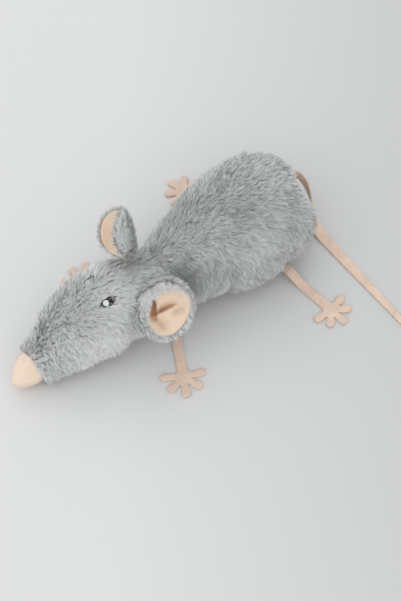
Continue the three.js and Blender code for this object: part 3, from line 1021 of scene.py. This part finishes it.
def ear_pile(side_name):
    """Pile on the back of an ear and over its rim."""
    shape = EAR_SHAPES[side_name]
    radius, breadth = shape["radius"], shape["breadth"]
    source = np.random.default_rng(SEED + 40 + (side_name == "left"))
    rings, sectors = 24, 72
    back, _ = ear_back_surface(side_name, rings, sectors)
    across, along = polar(radius, breadth, rings, sectors)
    rim = [back[-1]]
    for inward in np.arange(0.96, shape["rim_depth"], -0.06):
        a, b = across[-1] * inward, EAR_CENTRE * radius + along[-1] * inward
        rim.append(ear_surface(side_name, a, b, np.full_like(a, 0.7 * MM)))
    surface = np.concatenate([back, rim[1:]])
    points = surface.reshape(-1, 3)
    faces = grid_faces(len(surface), sectors)
    on_rim = faces.max(1) >= rings * sectors
    far_side = np.cos(2 * math.pi * (faces[:, 0] % sectors) / sectors) < shape["rim_from"]
    faces = faces[~(on_rim & far_side)]
    normals = vertex_normals(points, faces)
    root, up, side, facing = EAR_FRAMES[side_name]
    if np.mean(normals[: 10 * sectors] @ facing) > 0:
        faces, normals = faces[:, ::-1], -normals

    def density(middles, _):
        return np.full(len(middles), 1.4 * FUR_DENSITY)

    roots, n = sample_surface(points, faces, normals, density, source)
    if side_name == "left":
        keep = beyond_lining(side_name, roots, n)
        roots, n = roots[keep], n[keep]
    outward = unit(roots - (root + up * EAR_CENTRE * radius))
    turned = smooth(*shape["rim"], ((roots - root) @ side) / radius)[:, None]
    flow = (0.55 * outward + 0.7 * up) * turned + (1 - turned) * (up + 1.2 * side)
    flow += 0.15 * source.normal(size=roots.shape)
    shade = 0.74 + 0.06 * wave_noise(roots, 14 * MM, 31)
    length = PILE_LENGTH * 0.7 * np.ones(len(roots))
    pile = Pile(roots, n, flow, length, shade, SEED + 50, gather=0.2, lean=(0.7, 1.3))
    return pile.to_object(f"{side_name}_ear_fur")


ears = {side_name: (*make_ear(side_name), ear_pile(side_name)) for side_name in EAR_SHAPES}

# ---------------------------------------------------------------- embroidered eyes


def stitched_patch(name, eye, lift, outline, pitch, relief, dome, material):
    """A satin-stitched patch: a domed grid with a ridge for each thread, over a flat underside."""
    middle, along, across, out, _ = eye
    steps_a, steps_b = 90, 22
    a, b = np.linspace(-1, 1, steps_a)[:, None], np.linspace(-1, 1, steps_b)[None]
    run, edge = outline(a)
    grid_a, grid_b = np.repeat(run, steps_b, 1), edge * b
    height = lift + dome * np.sqrt(1 - b**2) * np.sqrt(1 - a**2)
    height = height + relief * np.abs(np.sin(math.pi * (grid_a + 0.25 * grid_b) / pitch))
    flat = middle + along * grid_a[..., None] + across * grid_b[..., None]
    top, low = flat + out * height[..., None], flat + out * (lift - 1.4 * MM)
    verts = np.concatenate([top.reshape(-1, 3), low.reshape(-1, 3)])
    count = steps_a * steps_b
    grid = np.arange(count).reshape(steps_a, steps_b)
    corners = (grid[:-1, :-1], grid[:-1, 1:], grid[1:, 1:], grid[1:, :-1])
    faces = np.stack([c.ravel() for c in corners], 1).tolist()
    faces += [[count + k for k in face[::-1]] for face in faces]
    ring = [*grid[0], *grid[1:, -1], *grid[-1, -2::-1], *grid[-2:0:-1, 0]]
    faces += [[k, after, count + after, count + k] for k, after in zip(ring, ring[1:] + ring[:1])]
    obj = mesh_object(name, verts, np.array(faces), material)
    fix_normals(obj)
    return obj


def almond_outline(half):
    return lambda a: (a * half[0], np.maximum(half[1] * (1 - a * a), 0.12 * MM))


def round_outline(radius, forward):
    return lambda a: (forward + a * radius, np.maximum(radius * np.sqrt(1 - a * a), 0.1 * MM))


# How deep each eye lies below the CAD's, how far its dot stands up from it, and the dot's radius
EYE_SINK = {"left_eye": 1.5 * MM, "right_eye": 3.0 * MM}
DOT_LIFT = {"left_eye": 1.0 * MM, "right_eye": 0.4 * MM}
DOT_RADIUS = 2.3 * MM
patches = {}
for name, eye in EYES.items():
    sunk = -EYE_SINK[name]
    almond = almond_outline(eye[4])
    patches[name] = stitched_patch(f"{name}_satin", eye, sunk, almond, 0.7 * MM, 0.22 * MM, 0.9 * MM, BLACK)
    low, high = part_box(f"{name}_glint")
    dot = round_outline(DOT_RADIUS, float((np.array((low + high) / 2) - eye[0]) @ eye[1]))
    lift = DOT_LIFT[name] - EYE_SINK[name]
    patches[f"{name}_glint"] = stitched_patch(
        f"{name}_dot", eye, lift, dot, 0.6 * MM, 0.18 * MM, 0.7 * MM, WHITE
    )

# ---------------------------------------------------------------- felt limbs

# Half the felt's thickness, the share of it left at its edge, and how far in the edge is rounded, in mm
FELT_HALF = 0.9
FELT_EDGE = 0.62
FELT_ROUNDING = 0.6
# Where each limb is sewn in, the middle of its paw, and the reach and turn of its toes, in mm and degrees
LIMBS = {
    "front_left": {"root": (-79, -18.6), "paw": (-103.5, -65.5), "reach": 17.8, "turn": 0},
    "front_right": {"root": (-79, 26), "paw": (-116, 52), "reach": 17.8, "turn": 0},
    "hind_left": {"root": (20, -37), "paw": (26.4, -88.2), "reach": 16.5, "turn": 0},
    "hind_right": {"root": (14, 42), "paw": (0.5, 73), "reach": 16.5, "turn": -12},
}
TOE_TURNS = (-95, -48, 0, 48, 95)
TOE_REACHES = (1.0, 0.97, 1.03, 0.98, 1.0)
# A limb's outline in mm: half its strip's width, how far the strip reaches in behind its root, the palm's
# radius, a toe's start, its radius there, how much it widens, its rounded end, and how softly they join
STRIP_HALF = 4.0
STRIP_OVERLAP = 1.0
PALM_RADIUS = 6.4
TOE_START = 3.0
TOE_RADIUS = 2.1
TOE_WIDENS = 1.35
TOE_END = 3.4
STRIP_BLEND = 0.7
TOE_BLEND = 0.35
# In mm: the step of a limb's grid, how far the grid reaches round the paw's middle, and where the toes curl
LIMB_GRID = 0.7
PAW_REACH = 20.0
CURL_START = 8
# Height of a limb's middle in mm, by the share of its length
LIMB_SLOPE = [(-0.02, 6.5), (0, 6.5), (0.12, 5.7), (0.24, 3.7), (0.36, 1.69), (0.48, 0.9), (1, 0.9)]


def joined(first, second, softness):
    """The signed distance from two outlines that run into each other softly."""
    return -np.log(np.exp(-first / softness) + np.exp(-second / softness)) * softness


def limb_distance(s, w, length, reach, turn):
    """Signed distance from a limb's outline, in mm: s along it from the root, w across."""
    strip = np.maximum(np.abs(w) - STRIP_HALF, np.maximum(-s - STRIP_OVERLAP, s - length))
    palm = np.hypot(s - length, w) - PALM_RADIUS
    d = joined(strip, palm, STRIP_BLEND)
    for toe, share in zip(TOE_TURNS, TOE_REACHES):
        a = math.radians(toe + turn)
        along = (s - length) * math.cos(a) + w * math.sin(a)
        across = -(s - length) * math.sin(a) + w * math.cos(a)
        run = reach * share - TOE_END - TOE_START
        t = np.clip((along - TOE_START) / run, 0, 1)
        toe_d = np.hypot(along - (TOE_START + t * run), across) - (TOE_RADIUS + TOE_WIDENS * t)
        d = joined(d, toe_d, TOE_BLEND)
    return d


def felt_grid(distance, low, high, step):
    """Points and faces of a flat outline on a grid, its border points moved onto the outline."""
    s = np.arange(low[0], high[0] + step, step)
    w = np.arange(low[1], high[1] + step, step)
    grid_s, grid_w = np.meshgrid(s, w, indexing="ij")
    d = distance(grid_s, grid_w)
    inside = d < 0.45 * step
    cell = inside[:-1, :-1] & inside[1:, :-1] & inside[:-1, 1:] & inside[1:, 1:]
    index = -np.ones(d.shape, int)
    used = np.zeros(d.shape, bool)
    for a, b in ((0, 0), (1, 0), (0, 1), (1, 1)):
        used[a : a + cell.shape[0], b : b + cell.shape[1]] |= cell
    index[used] = np.arange(used.sum())
    points = np.stack([grid_s[used], grid_w[used]], 1)
    i, j = np.nonzero(cell)
    faces = np.stack([index[i, j], index[i + 1, j], index[i + 1, j + 1], index[i, j + 1]], 1)
    edges = {}
    for f in faces:
        for k in range(4):
            key = (int(f[k]), int(f[(k + 1) % 4]))
            if key[::-1] in edges:
                del edges[key[::-1]]
            else:
                edges[key] = True
    border = np.unique(np.array(list(edges)).ravel())
    h = 0.05
    for _ in range(4):
        p = points[border]
        value = distance(p[:, 0], p[:, 1])
        gx = (distance(p[:, 0] + h, p[:, 1]) - distance(p[:, 0] - h, p[:, 1])) / (2 * h)
        gy = (distance(p[:, 0], p[:, 1] + h) - distance(p[:, 0], p[:, 1] - h)) / (2 * h)
        size = np.maximum(gx * gx + gy * gy, 0.2)
        points[border] -= np.stack([gx, gy], 1) * (value / size)[:, None]
    return points, faces, list(edges)


def felt_piece(name, points, faces, edges, place):
    """A felt sheet with rounded edges from a flat outline. place(points, height) lays it in the frame."""
    border = np.unique(np.array(edges).ravel())
    tree = tree_of([(*points[i], 0) for i in border])
    rim = np.array([tree.find((*p, 0))[2] for p in points])
    t = np.clip(rim / FELT_ROUNDING, 0, 1)
    height = FELT_HALF * (FELT_EDGE + (1 - FELT_EDGE) * np.sqrt(1 - (1 - t) ** 2))
    top, low = place(points, height), place(points, -height)
    count = len(points)
    quads = faces.tolist() + [[f[0] + count, f[3] + count, f[2] + count, f[1] + count] for f in faces]
    quads += [[b, a, a + count, b + count] for a, b in edges]
    obj = mesh_object(name, np.concatenate([top, low]), quads, FELT)
    fix_normals(obj)
    return obj


def make_limb(name, limb):
    """A felt limb with its toes a little curled, laid from where it is sewn in down to the floor."""
    root, paw = np.array(limb["root"], float), np.array(limb["paw"], float)
    length = float(np.linalg.norm(paw - root))
    direction = (paw - root) / length
    side = np.array([-direction[1], direction[0]])
    seed = SEED + 60 + list(LIMBS).index(name)
    source = np.random.default_rng(seed)
    curl = source.uniform(0.3, 1.1, 5)

    def distance(s, w):
        return limb_distance(s, w, length, limb["reach"], limb["turn"])

    low, high = (-STRIP_OVERLAP, -PAW_REACH), (length + PAW_REACH, PAW_REACH)
    points, faces, edges = felt_grid(distance, low, high, LIMB_GRID)

    def place(flat, height):
        s, w = flat.T
        centre = np.interp(s / length, *zip(*LIMB_SLOPE))
        out = np.hypot(s - length, w)
        turn = np.degrees(np.arctan2(w, s - length)) - limb["turn"]
        toe = np.argmin(np.abs(turn[:, None] - np.array(TOE_TURNS)[None]), 1)
        lift = curl[toe] * smooth(CURL_START, limb["reach"], out) * (s > length - CURL_START)
        wave = 0.12 * wave_noise(np.stack([s, w, 0 * s], 1) * MM, 13 * MM, seed)
        z = np.maximum(centre + height + lift + np.maximum(wave, -0.1), height + FELT_HALF)
        xy = root + direction * s[:, None] + side * w[:, None]
        return np.concatenate([xy, z[:, None]], 1) * MM

    obj = felt_piece(f"{name}_felt", points, faces, edges, place)
    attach(obj, f"{name}_leg")
    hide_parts(f"{name}_limb")
    return obj


for limb_name, limb in LIMBS.items():
    make_limb(limb_name, limb)

# ---------------------------------------------------------------- felt tail


def make_tail():
    """The felt tail, swept along its path with its turn and its taper."""
    line = catmull(TAIL_ROWS, 12)
    centre = line[:, :3]
    along = unit(np.gradient(centre, axis=0))
    level = unit(np.cross([0, 0, 1], along))
    turn = np.radians(-line[:, 3])[:, None]
    side = level * np.cos(turn) + np.cross(along, level) * np.sin(turn)
    normal = unit(np.cross(along, side))
    half = line[:, 4] / 2
    across = np.linspace(-1, 1, 13)
    profile = [(w, FELT_HALF * (FELT_EDGE + (1 - FELT_EDGE) * math.sqrt(1 - abs(w) ** 8))) for w in across]
    loop = profile + [(w, -h) for w, h in profile[::-1]]
    rng = np.random.default_rng(SEED + 70)
    edge = 1 + 0.012 * np.convolve(rng.normal(0, 1, len(half)), np.ones(5) / 5, "same")
    points = np.stack([centre + side * (w * half * edge)[:, None] + normal * h for w, h in loop], 1)
    points[:, :, 2] = np.maximum(points[:, :, 2], 0.05)
    sectors = len(loop)
    faces = grid_faces(len(points), sectors)
    flat = points.reshape(-1, 3) * MM
    end = np.stack([flat[:sectors].mean(0), flat[-sectors:].mean(0) + along[-1] * 1.0 * MM])
    faces = faces.tolist() + end_fans(len(points), sectors)
    obj = mesh_object("tail_felt", np.concatenate([flat, end]), faces, FELT)
    fix_normals(obj)
    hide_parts("tail_base", "tail_tip")
    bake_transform(obj)
    return obj


make_tail()

# ---------------------------------------------------------------- what moves with what

for piece in (body_skin, fur["neck_fur_rear"]):
    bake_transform(piece)
for piece in (head_skin, fur["neck_fur_front"]):
    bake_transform(piece)
for name, piece in fur.items():
    if not name.startswith("neck"):
        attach(piece, "head" if name.startswith("head") else "body")
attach(nose, "head")
BODY_NODES = ("belly_panel", "body_left_panel", "body_right_panel", "body_stuffing", "neck_stuffing")
HEAD_NODES = ("chin_panel", "head_left_panel", "head_right_panel", "head_stuffing")
for piece, slot, replaced in (
    (body_skin, "fur_plush", BODY_NODES),
    (head_skin, "fur_plush", HEAD_NODES),
    (nose, "peach_velour", ["nose_cap"]),
):
    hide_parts(*replaced)
for side_name, (fabric, lining, ear_fur) in ears.items():
    for piece in (fabric, lining, ear_fur):
        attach(piece, f"{side_name}_ear")
    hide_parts(f"{side_name}_ear_back")
    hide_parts(f"{side_name}_ear_lining")
for name, patch in patches.items():
    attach(patch, "head")
    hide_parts(name)

# ---------------------------------------------------------------- floor, light and camera


def stage_material():
    """Pale paper with painted shade that darkens it a little towards the picture's right."""
    look = Look("paper_floor")
    right = look.nodes.new("ShaderNodeVectorMath")
    right.operation = "DOT_PRODUCT"
    right.inputs[1].default_value = (0.8, -0.6, 0)
    look.link(look.place, right.inputs[0])
    slope = look.nodes.new("ShaderNodeMapRange")
    slope.inputs["From Min"].default_value = -0.1
    slope.inputs["From Max"].default_value = 0.15
    look.link(right.outputs["Value"], slope.inputs["Value"])
    # Painted shade: the paper's tone falls to a darker grey towards the right
    tone = look.ramp(slope.outputs["Result"], [(0.0, (0.735, 0.736, 0.733)), (1.0, (0.61, 0.612, 0.612))])
    return look.finish(tone, 0.95, 0.1)


FLOOR_HALF = 40
corners = [(x * FLOOR_HALF, y * FLOOR_HALF, 0) for x, y in ((-1, -1), (1, -1), (1, 1), (-1, 1))]
mesh_object("floor", corners, [[0, 1, 2, 3]], stage_material())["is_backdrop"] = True


def area_light(name, place, size, power, color):
    """A round light that points at the toy's middle."""
    data = bpy.data.lights.new(name, "AREA")
    data.shape = "DISK"
    data.size = size
    data.energy = power
    data.color = color
    obj = link(bpy.data.objects.new(name, data))
    obj.location = place
    obj.rotation_mode = "QUATERNION"
    obj.rotation_quaternion = (TOY_MIDDLE - Vector(place)).to_track_quat("-Z", "Y")


TOY_MIDDLE = Vector((-0.05, 0, 0))
area_light("key_light", (-1.1, -0.4, 1.3), 2.2, 5.2, (1.0, 1.0, 1.0))
area_light("back_light", (0.7, 1.5, 1.8), 1.8, 6, (0.9, 0.95, 1.0))

world = bpy.data.worlds.new("studio")
bpy.context.scene.world = world
world.use_nodes = True
background = world.node_tree.nodes["Background"]
background.inputs["Color"].default_value = (0.975, 0.985, 0.995, 1)
background.inputs["Strength"].default_value = 0.88

AZIMUTH, ELEVATION, DISTANCE = math.radians(-37), math.radians(60), 1.2
AIM = Vector((-0.0521, -0.0197, 0.0027))
look = Vector((
    -math.sin(AZIMUTH) * math.cos(ELEVATION),
    math.cos(AZIMUTH) * math.cos(ELEVATION),
    -math.sin(ELEVATION),
))
camera = bpy.data.cameras.new("camera")
camera.lens = 89.85
camera.sensor_width = 36
camera.clip_start, camera.clip_end = 0.05, 20
camera_object = link(bpy.data.objects.new("camera", camera))
camera_object.location = AIM - look * DISTANCE
camera_object.rotation_mode = "QUATERNION"
camera_object.rotation_quaternion = look.to_track_quat("-Z", "Y")
bpy.context.scene.camera = camera_object
bpy.context.scene.view_settings.view_transform = "Standard"

low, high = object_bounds()
